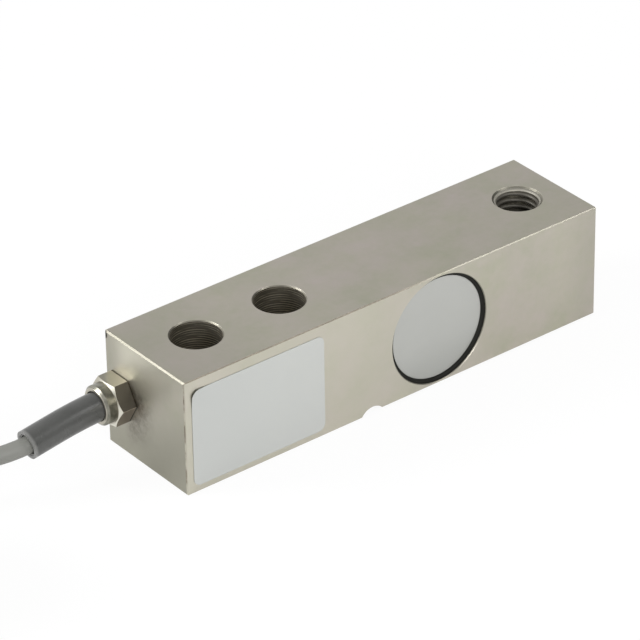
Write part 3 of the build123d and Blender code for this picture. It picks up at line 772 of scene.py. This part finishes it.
# Sleeve: a length of grey plastic tube over the start of the cable, pushed into the gland's collar.
# It is slightly cloudy and paler round its cut mouth, and painted light fills the shade inside it.
mouth_middle = (-0.05638, 0.01008, 0.01322)
mouth_direction = (-0.987, 0.005, -0.160)
mouth_rim = (-0.0011, -0.0003)   # along the sleeve, where the paler rim begins and is full
mouth_share = 0.8
sleeve_inside_r = 0.00275
sleeve_inside_reach = 0.009  # how far in the pale inside goes
sleeve_grey = (0.058, 0.059, 0.056, 1)
sleeve_cloud = (0.090, 0.091, 0.087, 1)
sleeve_pale = (0.19, 0.19, 0.183, 1)
sleeve_inside_light = (0.42, 0.42, 0.41, 1)
sleeve_skin, tree, shader = new_material("sleeve_plastic", sleeve_grey, 0.38)
vector, tint = dress(
    tree, shader, sleeve_grey, sleeve_cloud,
    scale=150.0, amount=0.6, grain_scale=1400.0, roughness=(0.20, 0.36), bump=0.00002,
)
from_mouth = vector_node(tree, "SUBTRACT", vector, mouth_middle)
along = vector_node(tree, "DOT_PRODUCT", from_mouth, mouth_direction)
pale = product_node(tree, ramp_node(tree, along, *mouth_rim), mouth_share)
colour = mix_node(tree, pale, tint, sleeve_pale)
# Painted light inside the mouth, over the shade within
across = vector_node(tree, "LENGTH", vector_node(tree, "CROSS_PRODUCT", from_mouth, mouth_direction))
near_mouth = math_node(tree, "LESS_THAN", vector_node(tree, "LENGTH", from_mouth), sleeve_inside_reach)
in_mouth = product_node(tree, near_mouth, math_node(tree, "LESS_THAN", across, sleeve_inside_r))
colour = mix_node(tree, in_mouth, colour, sleeve_inside_light)
tree.links.new(colour, shader.inputs["Base Color"])
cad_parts["relief_sleeve"].data.materials[0] = sleeve_skin


# Label: a satin foil sticker with rounded corners, left bare. It has lifted a little at its upper
# corner beside the gland.
label_size = (0.0400, 0.0270)
label_low_corner = (-0.0263, 0.0018)
label_corner_r = 0.0020
label_thickness = 0.00015
label_lift = 0.0005
label_lift_reach = 0.0065
label_cells = (80, 54)
label_white = (0.447, 0.457, 0.438, 1)
label_cloud = (0.419, 0.429, 0.419, 1)
label_shade = (0.413, 0.424, 0.410, 1)
label_shade_x = (0.0100, -0.0250)   # painted shade: it turns greyer towards the cable end


def rounded(u, v):
    """Moves a point of the plain rectangle, in metres from its low corner, onto the rounded one."""
    inner_u = min(max(u, label_corner_r), label_size[0] - label_corner_r)
    inner_v = min(max(v, label_corner_r), label_size[1] - label_corner_r)
    a = (u - inner_u) / label_corner_r
    b = (v - inner_v) / label_corner_r
    a, b = a * (1 - b * b / 2) ** 0.5, b * (1 - a * a / 2) ** 0.5
    return inner_u + a * label_corner_r, inner_v + b * label_corner_r


label_form = bmesh.new()
label_rows = []
for row in range(label_cells[1] + 1):
    label_rows.append([])
    for column in range(label_cells[0] + 1):
        u, v = rounded(label_size[0] * column / label_cells[0], label_size[1] * row / label_cells[1])
        to_corner = ((u / label_lift_reach) ** 2 + ((label_size[1] - v) / label_lift_reach) ** 2) ** 0.5
        lift = label_lift * max(0.0, 1 - to_corner) ** 2
        place = (label_low_corner[0] + u, -bar_half_width - lift, label_low_corner[1] + v)
        label_rows[row].append(label_form.verts.new(place))
for low, high in zip(label_rows, label_rows[1:]):
    for first, second, third, fourth in zip(low, low[1:], high[1:], high):
        label_form.faces.new((first, second, third, fourth))
label_mesh = bpy.data.meshes.new("label")
label_form.to_mesh(label_mesh)
label_form.free()
label = bpy.data.objects.new("label", label_mesh)
bpy.context.scene.collection.objects.link(label)
sheet = label.modifiers.new("thickness", "SOLIDIFY")
sheet.thickness = label_thickness
sheet.offset = 1
foil, tree, shader = new_material("label_foil", label_white, 0.4)
vector, tint = dress(
    tree, shader, label_white, label_cloud,
    scale=45.0, amount=0.6, grain_scale=2500.0, roughness=(0.34, 0.46), bump=0.000004,
)
x, y, z = split_node(tree, vector)
label_shaded = ramp_node(tree, x, *label_shade_x)
tree.links.new(mix_node(tree, label_shaded, tint, label_shade), shader.inputs["Base Color"])
label_mesh.materials.append(foil)
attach(label, "root")
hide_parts("rating_label")


# Cover discs: a thin satin metal disc in each pocket, pressed on the sealant below the bar's face.
# The sealant is a soft black compound that is poured over the gauges, and its lip climbs the wall.
disc_colour = (0.452, 0.457, 0.435, 1)
disc_cloud = (0.415, 0.42, 0.398, 1)
disc_shade_colour = (0.385, 0.39, 0.37, 1)
disc_shade_z = (0.014, 0.002)  # painted shade: it is darker towards its lower edge
disc_metal, tree, shader = new_material("disc_metal", disc_colour, 0.35, metallic=0.6)
vector, tint = dress(
    tree, shader, disc_colour, disc_cloud,
    scale=50.0, amount=0.5, grain_scale=2500.0, roughness=(0.33, 0.42), bump=0.000004,
)
x, y, z = split_node(tree, vector)
disc_shaded = ramp_node(tree, z, *disc_shade_z)
tree.links.new(mix_node(tree, disc_shaded, tint, disc_shade_colour), shader.inputs["Base Color"])

sealant_black = (0.008, 0.008, 0.006, 1)
sealant_dusty = (0.02, 0.02, 0.016, 1)
sealer, tree, shader = new_material("black_sealant", sealant_black, 0.7)
shader.inputs["Specular IOR Level"].default_value = 0.2
dress(
    tree, shader, sealant_black, sealant_dusty,
    scale=220.0, amount=0.5, grain_scale=1800.0, roughness=(0.6, 0.8), bump=0.00003,
)
for side in ("front", "rear"):
    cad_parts[f"{side}_cover_disc"].data.materials[0] = disc_metal
    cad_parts[f"{side}_sealant"].data.materials[0] = sealer


# Gauges and bridge, cast in the sealant: metal foil grids on amber films that are bonded to the web,
# wired to a small green board where the bridge is soldered together and trimmed. The cable's cores
# reach the board through the wiring channel.
inner_finishes = {
    "gauge_film": ((0.55, 0.24, 0.03, 1), (0.45, 0.18, 0.02, 1), (0.2, 0.3), 0.0),
    "gauge_foil": ((0.42, 0.30, 0.20, 1), (0.36, 0.26, 0.18, 1), (0.25, 0.35), 1.0),
    "gauge_wires": ((0.42, 0.12, 0.04, 1), (0.32, 0.09, 0.03, 1), (0.25, 0.35), 0.6),
    "bridge_board": ((0.015, 0.11, 0.04, 1), (0.02, 0.14, 0.05, 1), (0.25, 0.4), 0.0),
    "solder_joints": ((0.45, 0.45, 0.45, 1), (0.38, 0.38, 0.38, 1), (0.25, 0.4), 1.0),
    "trim_resistors": ((0.015, 0.015, 0.018, 1), (0.03, 0.03, 0.03, 1), (0.25, 0.4), 0.0),
}
for part, (colour, second, roughness, metallic) in inner_finishes.items():
    made, tree, shader = new_material(part, colour, roughness[0], metallic=metallic)
    dress(
        tree, shader, colour, second,
        scale=500.0, amount=0.5, grain_scale=4000.0, roughness=roughness, bump=0.000004,
    )
    for name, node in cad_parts.items():
        if name.endswith(part):
            node.data.materials[0] = made
for name, made in core_materials.items():
    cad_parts[f"inner_core_{name}"].data.materials[0] = made


# Floor: a plain white table, which shows as the photograph's white ground and keeps a soft shadow.
# The room is white too. It is brightest behind the gland, and dim to the right of the camera.
floor_half = 6.0
table_paint = (0.9, 0.9, 0.9, 1)
glow_seen = 0.92             # the share of plain white that the camera sees in the table
glow_in_gloss = 0.37         # and that shiny surfaces see
floor_mesh = bpy.data.meshes.new("floor")
floor_corners = [(x * floor_half, y * floor_half, 0) for x, y in ((-1, -1), (1, -1), (1, 1), (-1, 1))]
floor_mesh.from_pydata(floor_corners, [], [(0, 1, 2, 3)])
floor = bpy.data.objects.new("floor", floor_mesh)
bpy.context.scene.collection.objects.link(floor)
table = bpy.data.materials.new("table")
table.use_nodes = True
tree = table.node_tree
tree.nodes.clear()
paint = tree.nodes.new("ShaderNodeBsdfDiffuse")
paint.inputs["Color"].default_value = table_paint
glow = tree.nodes.new("ShaderNodeEmission")
glow.inputs["Strength"].default_value = 1.0
rays = tree.nodes.new("ShaderNodeLightPath")
seen = math_node(tree, "MAXIMUM", rays.outputs["Is Camera Ray"], rays.outputs["Is Transmission Ray"])
seen_share = product_node(tree, seen, glow_seen)
gloss_share = product_node(tree, rays.outputs["Is Glossy Ray"], glow_in_gloss)
blend = tree.nodes.new("ShaderNodeMixShader")
tree.links.new(math_node(tree, "MAXIMUM", seen_share, gloss_share), blend.inputs[0])
tree.links.new(paint.outputs[0], blend.inputs[1])
tree.links.new(glow.outputs[0], blend.inputs[2])
tree.links.new(blend.outputs[0], tree.nodes.new("ShaderNodeOutputMaterial").inputs["Surface"])
floor_mesh.materials.append(table)

bright_side = (-0.62, 0.78, 0.0)
bright_span = (-0.5, 0.65, 0.25, 1.0)   # from the dim side to the bright one, and their strengths
room_strength = 0.65         # for all that isn't shiny
world = bpy.data.worlds.new("world")
bpy.context.scene.world = world
world.use_nodes = True
tree = world.node_tree
direction = tree.nodes.new("ShaderNodeTexCoord").outputs["Generated"]
towards = vector_node(tree, "DOT_PRODUCT", direction, bright_side)
walls = ramp_node(tree, towards, *bright_span)
rays = tree.nodes.new("ShaderNodeLightPath")
seen = math_node(tree, "MAXIMUM", rays.outputs["Is Camera Ray"], rays.outputs["Is Transmission Ray"])
strength = mix_node(tree, rays.outputs["Is Glossy Ray"], (room_strength,) * 3 + (1,), walls)
strength = mix_node(tree, seen, strength, (1, 1, 1, 1))
tree.links.new(strength, tree.nodes["Background"].inputs["Strength"])
tree.nodes["Background"].inputs["Color"].default_value = (1, 1, 1, 1)


def area_light(name, place, size, power):
    """A square studio lamp that faces the middle of the bar."""
    lamp = bpy.data.lights.new(name, "AREA")
    lamp.shape = "SQUARE"
    lamp.size = size
    lamp.energy = power
    holder = bpy.data.objects.new(name, lamp)
    bpy.context.scene.collection.objects.link(holder)
    aim = (Vector(place) - Vector((0.035, 0, 0.016))).to_track_quat("Z", "Y")
    holder.matrix_world = Matrix.Translation(place) @ aim.to_matrix().to_4x4()


area_light("side lamp", (-0.85, 0.55, 0.55), 0.45, 8.0)
area_light("front lamp", (-0.4, -1.1, 0.65), 0.5, 7.5)
area_light("right lamp", (0.43, -0.50, 0.60), 0.3, 1.4)
bpy.context.scene.view_settings.view_transform = "Standard"
